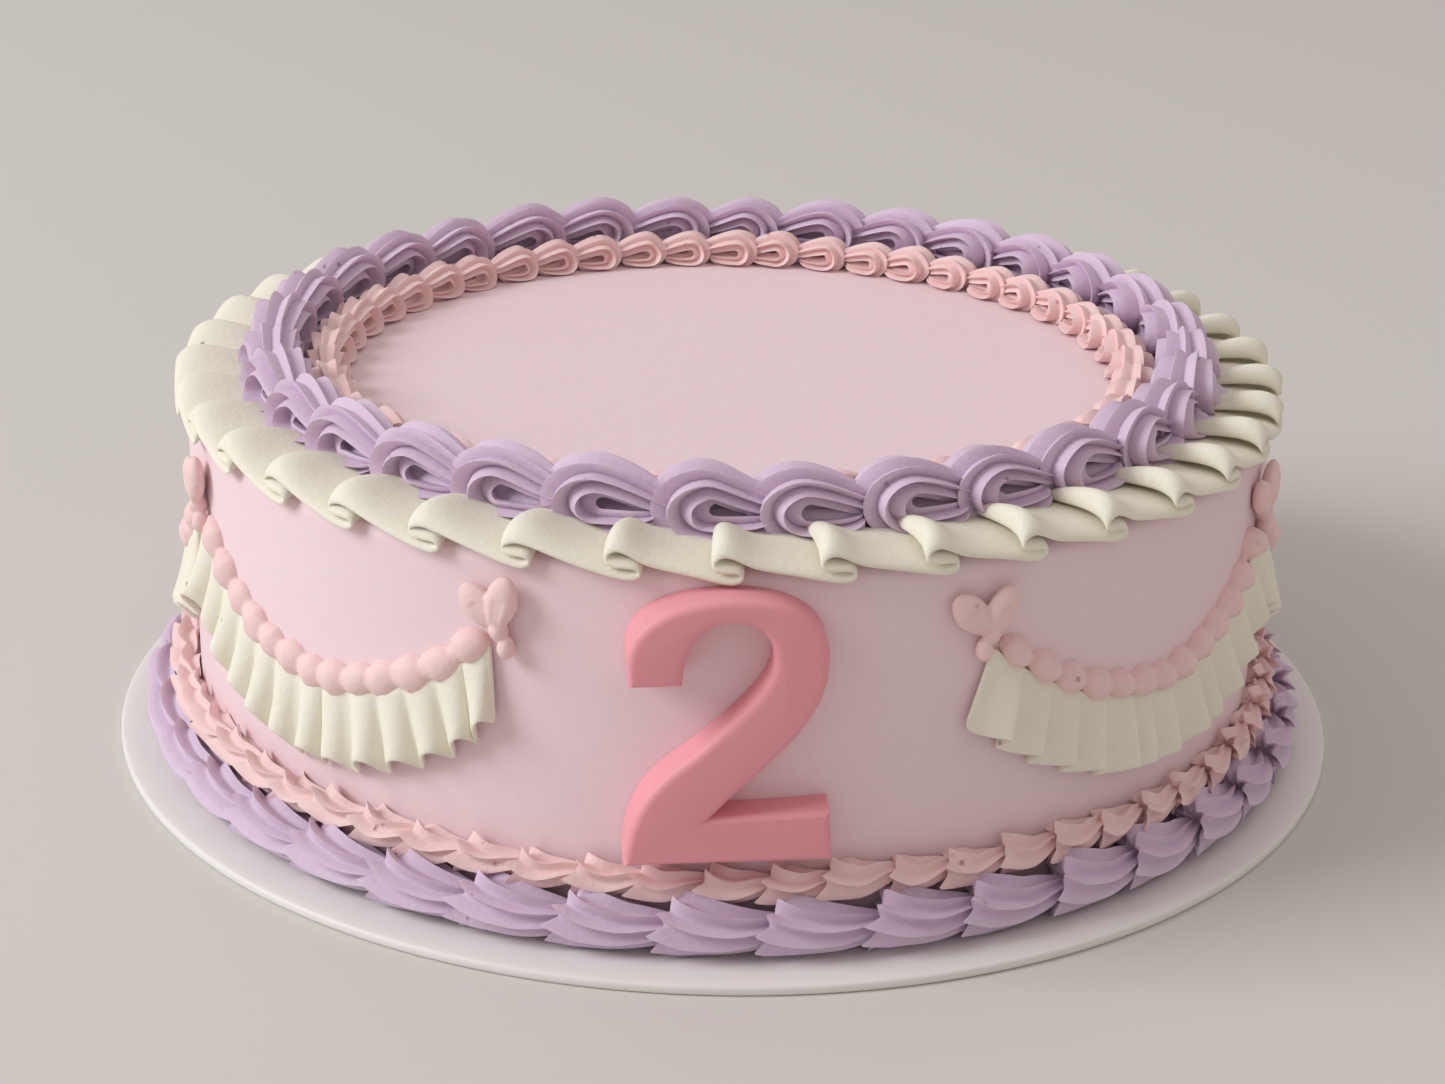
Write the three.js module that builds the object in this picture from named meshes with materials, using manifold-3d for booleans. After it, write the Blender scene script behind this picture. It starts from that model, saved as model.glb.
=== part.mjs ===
// Piped layer cake on its round board, in millimetres.
// +Z is up, the origin lies on the ground under the middle of the board, and the front faces -Y.
// Angles round the cake are in degrees from the front and grow towards +X.

import * as THREE from 'three';
import { ParametricGeometry } from 'three/addons/geometries/ParametricGeometry.js';
import { mergeVertices } from 'three/addons/utils/BufferGeometryUtils.js';
import Module from 'manifold-3d';

// Driving dimensions

const clear = 0.3;
const roundSides = 48;
const ribDepth = 0.17;
const board = { radius: 127, thickness: 2, edge: 0.7 };
const body = { radius: 110, top: 73, edge: 3 };
const wall = body.radius + clear;
const deck = body.top + clear;

const ruffle = {
  folds: 38, inner: 101.3, middle: 107.3, outer: 111.8, thickness: 1.4,
  crest: 76.4, slope: 74.3, hem: 72.2, turn: 75.1,
};

// Steps along one piped shell: how far along its pitch, and how swollen, high and swept back it is
const longShell = [
  { along: 0, swell: 0.74, lift: 0.6, lean: 0 },
  { along: 0.07, swell: 0.9, lift: 0.97, lean: 0.26 },
  { along: 0.3, swell: 1, lift: 1, lean: 0.18 },
  { along: 0.66, swell: 0.9, lift: 0.8, lean: 0.04 },
];
const shortShell = [
  { along: 0, swell: 0.72, lift: 0.62, lean: 0 },
  { along: 0.2, swell: 1, lift: 1, lean: 0.24 },
];
const lilacTop = {
  shells: 32, radius: 93.8, foot: deck, width: 13.8, height: 13.6, points: 9, steps: longShell,
};
const pinkTop = {
  shells: 48, radius: 81.8, foot: deck, width: 8.8, height: 7.8, points: 5, steps: shortShell,
};
const lilacBase = {
  shells: 40, radius: 115.8, foot: board.thickness + clear, width: 11, height: 11.2, points: 7,
  steps: longShell,
};
const pinkBase = {
  shells: 64, radius: wall, foot: 15.3, width: 6, height: 5.8, points: 5, steps: shortShell, onWall: true,
};

const bowCount = 8;
const swagSpan = 360 / bowCount;
const knotHeight = 58.8;
const swagDip = 39.8;
const bead = { perSwag: 13, proud: 4.9, half: 3.7, waist: 0.68, end: 0.048 };
const frill = {
  pleats: 13, thickness: 1.5, middleWidth: 16.4, endWidth: 12.8, hemReach: 4.9, topReach: 0.8,
};
const bow = { loopLength: 11.6, loopWidth: 7.6, loopDepth: 4.4, knot: 5.4, drop: 4.2, lean: [-32, 22] };
const digit = { foot: 20.6, front: 117.3, depth: 16, angle: -1.1, turn: 3.7, lean: 1, edge: 1.3 };

// Uneven hand work: the same slight differences every time

function handWork(seed) {
  let state = seed;
  return (spread) => {
    state = (state * 16807) % 2147483647;
    return 1 - spread * (state / 2147483647);
  };
}

// Places on and round the cake

function place(degrees, radius, height) {
  const angle = THREE.MathUtils.degToRad(degrees);
  return new THREE.Vector3(radius * Math.sin(angle), -radius * Math.cos(angle), height);
}

// A point given by its distance along the cake's side, its height and how far it stands proud
function placeOnWall(along, height, proud) {
  return place(THREE.MathUtils.radToDeg(along / wall), wall + proud, height);
}

// Turning surfaces and solids into closed bodies

function closedBody(geometry) {
  geometry.deleteAttribute('normal');
  geometry.deleteAttribute('uv');
  const merged = mergeVertices(geometry, 0.001);
  const corners = merged.index.array;
  const kept = [];
  for (let i = 0; i < corners.length; i += 3) {
    const [a, b, c] = [corners[i], corners[i + 1], corners[i + 2]];
    if (a !== b && b !== c && c !== a) kept.push(a, b, c);
  }
  merged.setIndex(kept);
  return merged;
}

// Sections in a row, joined into one body: round the whole cake, or from one end to the other.
// A thin wall keeps its thickness where both its faces are split along the same diagonal, so the
// rows of its back face are split the other way.
function loft(sections, pointsEach, pointAt, ring, backRows = []) {
  const steps = ring ? sections : sections - 1;
  const surface = new ParametricGeometry((u, v, target) => {
    const section = Math.round(u * steps) % sections;
    target.copy(pointAt(section, Math.round(v * pointsEach) % pointsEach));
  }, steps, pointsEach);
  const corners = surface.index.array;
  for (const row of backRows) {
    for (let at = row * steps * 6; at < (row + 1) * steps * 6; at += 6) {
      corners[at + 2] = corners[at + 4];
      corners[at + 3] = corners[at];
    }
  }
  return closedBody(surface);
}

function lathe(profile, sides) {
  const points = profile.map(([radius, height]) => new THREE.Vector2(radius, height));
  return closedBody(new THREE.LatheGeometry(points, sides).rotateX(Math.PI / 2));
}

const wasm = await Module();
wasm.setup();

function toSolid(geometry) {
  const vertProperties = Float32Array.from(geometry.attributes.position.array);
  const triVerts = Uint32Array.from(geometry.index.array);
  return new wasm.Manifold(new wasm.Mesh({ numProp: 3, vertProperties, triVerts }));
}

function fromSolid(solid) {
  const mesh = solid.getMesh();
  const geometry = new THREE.BufferGeometry();
  geometry.setAttribute('position', new THREE.BufferAttribute(mesh.vertProperties, 3));
  geometry.setIndex(new THREE.BufferAttribute(mesh.triVerts, 1));
  return closedBody(geometry);
}

// Icings and board

function icing(color, roughness) {
  return new THREE.MeshStandardMaterial({ color, roughness, metalness: 0, flatShading: true });
}

const finishes = {
  board: icing('#eae4e1', 0.45),
  palePink: icing('#eed3da', 0.6),
  cream: icing('#ece6d6', 0.55),
  lilac: icing('#cdb6da', 0.55),
  rose: icing('#f0cbca', 0.55),
  fondant: icing('#d98c98', 0.5),
};

const cakeOnBoard = new THREE.Group();

function add(name, geometry, finish) {
  const mesh = new THREE.Mesh(geometry, finishes[finish]);
  mesh.name = name;
  cakeOnBoard.add(mesh);
  return mesh;
}

// Board and cake

function boardGeometry() {
  const { radius, thickness, edge } = board;
  return lathe([
    [0, 0], [radius - edge, 0], [radius, thickness / 2], [radius - edge, thickness], [0, thickness],
  ], roundSides);
}

function cakeGeometry() {
  const { radius, top, edge } = body;
  const shoulder = edge * 0.3;
  return lathe([
    [0, board.thickness + clear], [radius, board.thickness + clear], [radius, top - edge],
    [radius - shoulder, top - shoulder], [radius - edge, top], [0, top],
  ], roundSides);
}

// Ruffled ribbon that hangs over the top edge. Each fold runs down to a low turn, doubles back to
// the left and comes over the top of it as the next crest.

function ruffleGeometry() {
  const { folds, inner, middle, outer, thickness } = ruffle;
  const pitch = 360 / folds;
  const fold = [
    { out: 0.1, height: ruffle.crest, rise: [-0.15, 1], inside: 0.05 },
    { out: 0.6, height: ruffle.slope, rise: [0.19, 0.98], inside: 0.4 },
    { out: 1.24, height: ruffle.hem, rise: [-0.8, 0.25], inside: 0.7 },
    { out: 1.02, height: ruffle.turn, rise: [-0.95, -0.1], inside: 0.9 },
  ];
  const hand = handWork(11);
  const size = Array.from({ length: folds }, () => hand(0.1));
  const blend = (middle - inner) / (outer - inner) * 0.72;
  return loft(folds * fold.length, 6, (section, point) => {
    const index = Math.floor(section / fold.length);
    const step = fold[section % fold.length];
    const grow = size[index];
    const lift = deck + (step.height - deck) * grow;
    const edgeAngle = (index + step.out) * pitch;
    const rootAngle = (index + step.inside) * pitch;
    const half = thickness / 2;
    const across = THREE.MathUtils.radToDeg(half / outer);
    const ends = {
      outer: (side) => {
        const angle = edgeAngle + side * step.rise[0] * across;
        return place(angle, outer, lift + side * step.rise[1] * half);
      },
      middle: (side) => {
        const angle = rootAngle + (edgeAngle - rootAngle) * blend + side * step.rise[0] * across * blend;
        const height = deck + half + (lift - deck - half) * blend;
        return place(angle, middle, Math.max(height + side * half, deck + (side + 1) * half * 0.8));
      },
      inner: (side) => place(rootAngle, inner, deck + (side + 1) * half),
    };
    const order = [['outer', -1], ['outer', 1], ['middle', 1], ['inner', 1], ['inner', -1], ['middle', -1]];
    const [end, side] = order[point];
    return ends[end](side);
  }, true);
}

// Ring of piped shells. Every shell starts with a fat ribbed head over the tail of the one before
// and narrows to its own tail. Its section is an arch on the cake's top, its side or the board.

function shellRingGeometry(ring, seed) {
  const { shells, radius, foot, width, height, points, steps, onWall } = ring;
  const pitch = 360 / shells;
  const hand = handWork(seed);
  const size = Array.from({ length: shells }, () => hand(0.09));
  return loft(shells * steps.length, points, (section, point) => {
    const index = Math.floor(section / steps.length);
    const step = steps[section % steps.length];
    const turn = Math.PI * point / (points - 1);
    const rib = point % 2 === 0 ? 1 : 1 - ribDepth;
    const across = -Math.cos(turn) * width / 2 * step.swell * size[index] * rib;
    const out = Math.sin(turn) * height * step.lift * size[index] * rib;
    const angle = (index + step.along - step.lean * Math.sin(turn)) * pitch;
    if (onWall) return place(angle, radius + out, foot + across);
    return place(angle, radius - across, foot + out);
  }, true);
}

// Swags between the bows: a string of beads with a pleated frill under it. The line of a swag is
// a parabola on the unrolled side of the cake.

function swagLine(t) {
  const length = THREE.MathUtils.degToRad(swagSpan) * wall;
  const fall = knotHeight - swagDip;
  const sway = 2 * t - 1;
  const slope = 4 * fall * sway / length;
  const level = 1 / Math.hypot(1, slope);
  return { along: length * t, height: swagDip + fall * sway * sway, up: [-slope * level, level] };
}

function swagStart(index) {
  return THREE.MathUtils.degToRad((index + 0.5) * swagSpan) * wall;
}

function beadStringGeometry(index) {
  const { perSwag, proud, half, waist } = bead;
  const sections = perSwag * 2 + 1;
  const points = 5;
  const hand = handWork(31 + index);
  const size = Array.from({ length: sections }, () => hand(0.14));
  return loft(sections, points, (section, point) => {
    const t = bead.end + (1 - 2 * bead.end) * section / (sections - 1);
    const line = swagLine(t);
    const tip = section === 0 || section === sections - 1;
    const scale = tip ? 0 : size[section] * (section % 2 === 1 ? 1 : waist);
    const turn = Math.PI * point / (points - 1);
    const up = -Math.cos(turn) * half * scale;
    const out = tip ? proud * 0.3 : Math.sin(turn) * proud * scale;
    const along = swagStart(index) + line.along + line.up[0] * up;
    return placeOnWall(along, line.height + line.up[1] * up, out);
  }, false);
}

function frillGeometry(index) {
  const { pleats, thickness, middleWidth, endWidth, hemReach, topReach } = frill;
  const sections = pleats * 2 + 1;
  const length = THREE.MathUtils.degToRad(swagSpan) * wall;
  const hand = handWork(51 + index);
  const size = Array.from({ length: sections }, () => hand(0.12));
  const open = [index !== 0, index !== bowCount - 2];
  return loft(sections, 4, (section, point) => {
    const t = bead.end + (1 - 2 * bead.end) * section / (sections - 1);
    const line = swagLine(t);
    const tip = section === 0 || section === sections - 1;
    const wave = (section % 2 === 1 ? 1 : 0) * size[section];
    const middle = 1 - (2 * t - 1) ** 2;
    const hem = endWidth + (middleWidth - endWidth) * middle * size[section];
    const atHem = point === 0 || point === 3;
    const atFront = point < 2;
    const down = atHem ? hem : bead.half + clear;
    const reach = (atHem ? hemReach : topReach) * wave;
    const out = tip ? thickness / 2 : reach + (atFront ? thickness : 0);
    const low = open[0] ? clear : -length;
    const high = open[1] ? length - clear : 2 * length;
    const along = THREE.MathUtils.clamp(line.along - line.up[0] * down, low, high);
    return placeOnWall(swagStart(index) + along, line.height - line.up[1] * down, out);
  }, false, [2]);
}

// Bow: two loops in a V over a knot, with one drop under it

function ball(size, centre, tilt, sides, rings) {
  const geometry = new THREE.SphereGeometry(0.5, sides, rings);
  geometry.scale(size[0], size[2], size[1]).rotateX(Math.PI / 2);
  geometry.rotateY(THREE.MathUtils.degToRad(tilt)).translate(centre[0], centre[1], centre[2]);
  return toSolid(closedBody(geometry));
}

function bowGeometry() {
  const { loopLength, loopWidth, loopDepth, knot, drop, lean } = bow;
  const depthOf = (size) => -(wall + size / 2 + 0.1);
  let solid = ball([knot, loopDepth + 0.8, knot + 1], [0, depthOf(loopDepth + 0.8), knotHeight], 0, 5, 3);
  for (const tilt of lean) {
    const angle = THREE.MathUtils.degToRad(tilt);
    const reach = loopLength * 0.5;
    const centre = [reach * Math.sin(angle), depthOf(loopDepth), knotHeight + reach * Math.cos(angle)];
    solid = solid.add(ball([loopWidth, loopDepth, loopLength], centre, tilt, 6, 3));
  }
  const dropCentre = [0, depthOf(drop), knotHeight - knot * 0.85];
  return fromSolid(solid.add(ball([drop, drop, drop], dropCentre, 0, 4, 3)));
}

// The figure two, a slab with rounded edges whose back follows the side of the cake

function digitShape() {
  const shape = new THREE.Shape();
  shape.moveTo(-18.4, 0);
  shape.lineTo(18.1, 0);
  shape.lineTo(17.6, 9.5);
  shape.lineTo(-3.1, 8.8);
  shape.bezierCurveTo(5.2, 18.2, 17.4, 25, 17.4, 38);
  shape.bezierCurveTo(17.4, 45.4, 10.8, 49.6, 1, 49.6);
  shape.bezierCurveTo(-8.5, 49.6, -17.4, 46, -17.4, 38);
  shape.lineTo(-17.1, 33.8);
  shape.lineTo(-7.9, 33.8);
  shape.bezierCurveTo(-7.4, 43, -3.4, 45.1, 1, 45.1);
  shape.bezierCurveTo(5.4, 45.1, 7.8, 42.4, 7.8, 38.2);
  shape.bezierCurveTo(7.8, 33, 1, 27.2, -6, 20.9);
  shape.bezierCurveTo(-11.8, 16.4, -17.6, 12.4, -18.4, 0);
  return shape;
}

function digitGeometry() {
  const { foot, front, depth, angle, turn, lean, edge } = digit;
  const slab = new THREE.ExtrudeGeometry(digitShape(), {
    depth: depth - 2 * edge, curveSegments: 4,
    bevelThickness: edge, bevelSize: edge, bevelOffset: -edge, bevelSegments: 2,
  });
  slab.translate(0, 0, edge - depth).rotateX(Math.PI / 2);
  slab.rotateY(THREE.MathUtils.degToRad(-lean)).rotateZ(THREE.MathUtils.degToRad(angle + turn));
  const centre = place(angle, front, foot);
  slab.translate(centre.x, centre.y, centre.z);
  const side = lathe([[0, 0], [wall, 0], [wall, body.top + 20], [0, body.top + 20]], 120);
  return fromSolid(toSolid(closedBody(slab)).subtract(toSolid(side)));
}

// The whole cake

add('cake_board', boardGeometry(), 'board');
add('cake', cakeGeometry(), 'palePink');
add('ribbon_ruffle', ruffleGeometry(), 'cream');
add('lilac_top_border', shellRingGeometry(lilacTop, 3), 'lilac');
add('pink_top_border', shellRingGeometry(pinkTop, 5), 'rose');
add('lilac_base_border', shellRingGeometry(lilacBase, 7), 'lilac');
add('pink_base_border', shellRingGeometry(pinkBase, 9), 'rose');

const bowShape = bowGeometry();
for (let index = 0; index < bowCount; index += 1) {
  const turn = THREE.MathUtils.degToRad((index + 0.5) * swagSpan);
  add(`bow_${index + 1}`, bowShape, 'rose').rotation.z = turn;
}

for (let index = 0; index < bowCount - 1; index += 1) {
  add(`bead_string_${index + 1}`, beadStringGeometry(index), 'rose');
  add(`frill_${index + 1}`, frillGeometry(index), 'cream');
}

add('figure_two', digitGeometry(), 'fondant');

export default cakeOnBoard;
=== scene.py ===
import math
import random

import bmesh
import bpy
from mathutils import Matrix, Vector


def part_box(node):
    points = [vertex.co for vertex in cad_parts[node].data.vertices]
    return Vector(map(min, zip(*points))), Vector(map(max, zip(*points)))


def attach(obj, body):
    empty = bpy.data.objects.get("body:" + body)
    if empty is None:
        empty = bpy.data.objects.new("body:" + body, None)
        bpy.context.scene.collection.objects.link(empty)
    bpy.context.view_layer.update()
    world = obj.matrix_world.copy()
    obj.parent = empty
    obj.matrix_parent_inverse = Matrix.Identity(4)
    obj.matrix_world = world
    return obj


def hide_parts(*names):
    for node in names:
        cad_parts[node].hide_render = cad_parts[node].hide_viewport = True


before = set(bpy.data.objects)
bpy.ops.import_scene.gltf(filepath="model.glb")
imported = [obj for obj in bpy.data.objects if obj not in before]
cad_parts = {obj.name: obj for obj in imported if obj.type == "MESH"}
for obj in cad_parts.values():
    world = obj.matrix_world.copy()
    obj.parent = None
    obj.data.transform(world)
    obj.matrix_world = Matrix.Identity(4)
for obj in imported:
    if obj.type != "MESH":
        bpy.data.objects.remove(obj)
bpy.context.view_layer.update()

mm = 0.001
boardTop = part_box("cake_board")[1].z
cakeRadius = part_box("cake")[1].x
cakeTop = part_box("cake")[1].z
print("frame loaded, cake", round(cakeRadius / mm), "mm radius, top at", round(cakeTop / mm), "mm")


# Small helpers for working in object and edit mode


def leaveEditMode():
    if bpy.context.object and bpy.context.object.mode != "OBJECT":
        bpy.ops.object.mode_set(mode="OBJECT")


def selectOnly(*pieces):
    leaveEditMode()
    bpy.ops.object.select_all(action="DESELECT")
    for piece in pieces:
        piece.select_set(True)
    bpy.context.view_layer.objects.active = pieces[0]


def takeNew(name):  # the primitive just added, with its place moved into its mesh
    piece = bpy.context.object
    piece.name = name
    piece.data.name = name
    selectOnly(piece)
    bpy.ops.object.transform_apply(location=True, rotation=True, scale=True)
    return piece


def startEdit(piece, selectAll=True):
    selectOnly(piece)
    bpy.ops.object.mode_set(mode="EDIT")
    bpy.ops.mesh.select_mode(type="VERT")
    bpy.ops.mesh.select_all(action="SELECT" if selectAll else "DESELECT")


def pickVerts(piece, wanted):  # wanted(vertex) says whether it is selected
    edit = bmesh.from_edit_mesh(piece.data)
    for vert in edit.verts:
        vert.select_set(False)
    for vert in edit.verts:
        if wanted(vert):
            vert.select_set(True)
    edit.select_flush_mode()
    bmesh.update_edit_mesh(piece.data)


def turnPicked(degrees, axis, centre):  # without a window the operator turns the other way
    bpy.ops.transform.rotate(value=-math.radians(degrees), orient_axis=axis, center_override=centre)


def movePicked(shift):
    bpy.ops.transform.translate(value=shift)


def sizePicked(factors, centre):
    bpy.ops.transform.resize(value=factors, center_override=centre)


def applyAll(piece):
    selectOnly(piece)
    for modifier in list(piece.modifiers):
        bpy.ops.object.modifier_apply(modifier=modifier.name)


def smoothSkin(piece, levels):
    skin = piece.modifiers.new("smooth skin", "SUBSURF")
    skin.levels = levels
    skin.render_levels = levels
    applyAll(piece)


def fixNormals(piece):
    startEdit(piece)
    bpy.ops.mesh.remove_doubles(threshold=0.00001)
    bpy.ops.mesh.normals_make_consistent(inside=False)
    leaveEditMode()


def rollOn(piece, radius):  # a strip laid along X is bent round the cake; outwards is -Y
    along = [vert.co.x for vert in piece.data.vertices]
    bend = piece.modifiers.new("roll", "SIMPLE_DEFORM")
    bend.deform_method = "BEND"
    bend.deform_axis = "Z"
    bend.angle = (max(along) - min(along)) / radius
    applyAll(piece)
    piece.location.y = -radius
    selectOnly(piece)
    bpy.ops.object.transform_apply(location=True, rotation=True, scale=True)


def copyPiece(piece, name, degrees=0.0):  # a copy with its own mesh, turned round the cake
    twin = piece.copy()
    twin.data = piece.data.copy()
    twin.name = name
    bpy.context.scene.collection.objects.link(twin)
    twin.data.transform(Matrix.Rotation(math.radians(degrees), 4, "Z"))
    return twin


def joinPieces(pieces, name):
    selectOnly(*pieces)
    bpy.ops.object.join()
    piece = bpy.context.object
    piece.name = name
    piece.data.name = name
    return piece


def fusePieces(pieces, name):  # one skin round pieces that run into each other
    rest = bpy.data.collections.new(name + " parts")
    bpy.context.scene.collection.children.link(rest)
    for piece in pieces[1:]:
        for old in list(piece.users_collection):
            old.objects.unlink(piece)
        rest.objects.link(piece)
    union = pieces[0].modifiers.new("fuse", "BOOLEAN")
    union.operation = "UNION"
    union.operand_type = "COLLECTION"
    union.collection = rest
    union.solver = "MANIFOLD"
    applyAll(pieces[0])
    for piece in pieces[1:]:
        bpy.data.objects.remove(piece, do_unlink=True)
    bpy.data.collections.remove(rest)
    pieces[0].name = name
    pieces[0].data.name = name
    return pieces[0]


def finishPiece(piece, material, nodes, smoothAngle=50):
    selectOnly(piece)
    bpy.ops.object.shade_smooth_by_angle(angle=math.radians(smoothAngle))
    piece.data.materials.clear()
    piece.data.materials.append(material)
    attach(piece, "root")
    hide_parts(*nodes)
    triangles = sum(len(face.vertices) - 2 for face in piece.data.polygons)
    print("made", piece.name, "with", triangles, "triangles")


# Shader maths written as expressions


class Wire:
    def __init__(self, tree, socket):
        self.tree = tree
        self.socket = socket

    def maths(self, operation, first, second=None):
        node = self.tree.nodes.new("ShaderNodeMath")
        node.operation = operation
        for index, value in enumerate((first, second)):
            if isinstance(value, Wire):
                self.tree.links.new(value.socket, node.inputs[index])
            elif value is not None:
                node.inputs[index].default_value = value
        return Wire(self.tree, node.outputs[0])

    def __add__(self, other):
        return self.maths("ADD", self, other)

    def __sub__(self, other):
        return self.maths("SUBTRACT", self, other)

    def __mul__(self, other):
        return self.maths("MULTIPLY", self, other)

    def __rsub__(self, other):
        return self.maths("SUBTRACT", other, self)

    def clipped(self):
        return self.maths("MINIMUM", self.maths("MAXIMUM", self, 0.0), 1.0)


class Recipe:
    def __init__(self, name, tree=None):
        self.material = None if tree else bpy.data.materials.new(name)
        if self.material:
            self.material.use_nodes = True
        self.tree = tree or self.material.node_tree
        self.tree.nodes.clear()

    def node(self, kind, settings=None, sockets=None, out=0):
        made = self.tree.nodes.new(kind)
        for key, value in (settings or {}).items():
            setattr(made, key, value)
        for key, value in (sockets or {}).items():
            if isinstance(value, Wire):
                self.tree.links.new(value.socket, made.inputs[key])
            else:
                made.inputs[key].default_value = value
        return Wire(self.tree, made.outputs[out]) if made.outputs else made

    def noise(self, place, scale, detail=3.0, roughness=0.5):
        sockets = {"Vector": place, "Scale": scale, "Detail": detail, "Roughness": roughness}
        return self.node("ShaderNodeTexNoise", {}, sockets)

    def mix(self, factor, first, second):
        return self.node("ShaderNodeMix", {"data_type": "RGBA"}, {0: factor, 6: first, 7: second}, out=2)


# Icings and board


def icingMaterial(name, look):
    recipe = Recipe(name)
    objectPlace = recipe.node("ShaderNodeTexCoord", out=3)
    place = recipe.node("ShaderNodeMapping", {"vector_type": "POINT"}, {"Vector": objectPlace})
    cloud = recipe.noise(place, look["cloudScale"], 2.0)
    grain = recipe.noise(place, look["grainScale"], 4.0, 0.6)
    fine = recipe.noise(place, look["grainScale"] * 4.2, 2.0, 0.5)
    pits = recipe.node("ShaderNodeTexVoronoi", {}, {"Vector": place, "Scale": look["pitScale"]})
    pitChance = recipe.noise(place, look["pitScale"] * 0.37, 0.0)
    pit = (1.0 - pits * look["pitSize"]).clipped() * ((pitChance - look["pitRare"]) * 14.0).clipped()
    tone = ((cloud - 0.5) * look["cloudGain"] + (grain - 0.5) * look["grainGain"] + 0.5).clipped()
    flat = recipe.mix(tone, look["deep"], look["light"])
    # painted shade: the pits are darkened towards the pit colour, which stands in for the shade inside each
    # small hole
    colour = recipe.mix(pit * 0.75, flat, look["pitShadeColour"])
    height = grain * look["grainHeight"] + fine * look["fineHeight"] - pit * look["pitDepth"]
    bump = recipe.node("ShaderNodeBump", {}, {"Strength": 1.0, "Distance": 1.0, "Height": height})
    rough = (grain - 0.5) * 0.16 + look["roughness"]
    sockets = {
        "Base Color": colour, "Roughness": rough, "Normal": bump,
        "Subsurface Weight": look["depth"], "Subsurface Radius": look["spread"],
        "Subsurface Scale": look["spreadScale"], "Specular IOR Level": look["gloss"],
    }
    skin = recipe.node("ShaderNodeBsdfPrincipled", {"subsurface_method": "RANDOM_WALK"}, sockets)
    recipe.node("ShaderNodeOutputMaterial", {}, {"Surface": skin})
    return recipe.material


def hue(red, green, blue):  # a colour as seen on screen, 0 to 255, turned to light values
    def light(value):
        share = value / 255
        return share / 12.92 if share <= 0.04045 else ((share + 0.055) / 1.055) ** 2.4

    return (light(red), light(green), light(blue), 1.0)


butterIcing = {
    "cloudScale": 38.0, "cloudGain": 0.9, "grainScale": 900.0, "grainGain": 0.8,
    "grainHeight": 0.00016, "fineHeight": 0.00005, "roughness": 0.55, "gloss": 0.3,
    "pitScale": 260.0, "pitSize": 6.0, "pitRare": 0.64, "pitDepth": 0.0006,
    "depth": 0.14, "spread": (1.0, 0.62, 0.55), "spreadScale": 0.002,
}
# each look's pit colour is painted shade, the darkness inside the small air-bubble pits
lilacLook = dict(butterIcing, deep=hue(212, 189, 212), light=hue(224, 204, 224), pitShadeColour=hue(120, 88, 128))
pinkLook = dict(butterIcing, deep=hue(238, 203, 203), light=hue(245, 215, 213), pitShadeColour=hue(196, 120, 122))
creamLook = dict(
    butterIcing, deep=hue(237, 232, 214), light=hue(244, 240, 225), pitShadeColour=hue(170, 160, 132), pitRare=0.7,
    spread=(1.0, 0.9, 0.5),
)
cakeLook = dict(
    butterIcing, deep=hue(238, 213, 219), light=hue(243, 220, 225), pitShadeColour=hue(214, 178, 188),
    pitRare=0.95, cloudScale=14.0, grainScale=420.0, grainHeight=0.00008, fineHeight=0.00002,
)
fondantLook = dict(
    butterIcing, deep=hue(234, 156, 167), light=hue(238, 163, 173), pitShadeColour=hue(200, 120, 132), pitRare=0.9,
    cloudScale=20.0, grainHeight=0.00002, fineHeight=0.00001, roughness=0.5,
)
boardLook = dict(
    butterIcing, deep=hue(233, 229, 227), light=hue(238, 235, 233), pitShadeColour=hue(228, 224, 222), pitRare=0.9,
    cloudScale=9.0, grainScale=300.0, grainHeight=0.00002, fineHeight=0.0, roughness=0.42, depth=0.0,
)

lilacIcing = icingMaterial("lilac buttercream", lilacLook)
pinkIcing = icingMaterial("pink buttercream", pinkLook)
creamIcing = icingMaterial("cream buttercream", creamLook)
cakeIcing = icingMaterial("pale pink buttercream", cakeLook)
fondant = icingMaterial("rose fondant", fondantLook)
boardCard = icingMaterial("white coated card", boardLook)
print("icings mixed")


# Board and cake

boardSettings = {"edge": 0.7 * mm, "sides": 192, "rim": 2.0 * mm}
cakeSettings = {"edge": 3.2 * mm, "sides": 192, "rim": 2.0 * mm}


def insetFlats(piece, rim):  # a narrow rim inside each flat face keeps its shading flat
    bpy.ops.mesh.select_mode(type="FACE")
    bpy.ops.mesh.select_all(action="DESELECT")
    edit = bmesh.from_edit_mesh(piece.data)
    for face in edit.faces:
        face.select_set(abs(face.normal.z) > 0.99 and len(face.verts) > 8)
    bmesh.update_edit_mesh(piece.data)
    bpy.ops.mesh.inset(thickness=rim)
    leaveEditMode()


def makeBoard():
    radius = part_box("cake_board")[1].x
    bpy.ops.object.select_all(action="DESELECT")
    bpy.ops.mesh.primitive_cylinder_add(
        vertices=boardSettings["sides"], radius=radius, depth=boardTop, location=(0, 0, boardTop / 2)
    )
    board = takeNew("cakeBoard")
    startEdit(board)
    bpy.ops.mesh.select_mode(type="EDGE")
    bpy.ops.mesh.select_all(action="DESELECT")
    edit = bmesh.from_edit_mesh(board.data)
    for edge in edit.edges:
        if abs(edge.verts[0].co.z - edge.verts[1].co.z) < 0.1 * mm:
            edge.select_set(True)
    bmesh.update_edit_mesh(board.data)
    bpy.ops.mesh.bevel(offset=boardSettings["edge"], segments=3, affect="EDGES")
    insetFlats(board, boardSettings["rim"])
    finishPiece(board, boardCard, ["cake_board"], 35)


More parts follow.
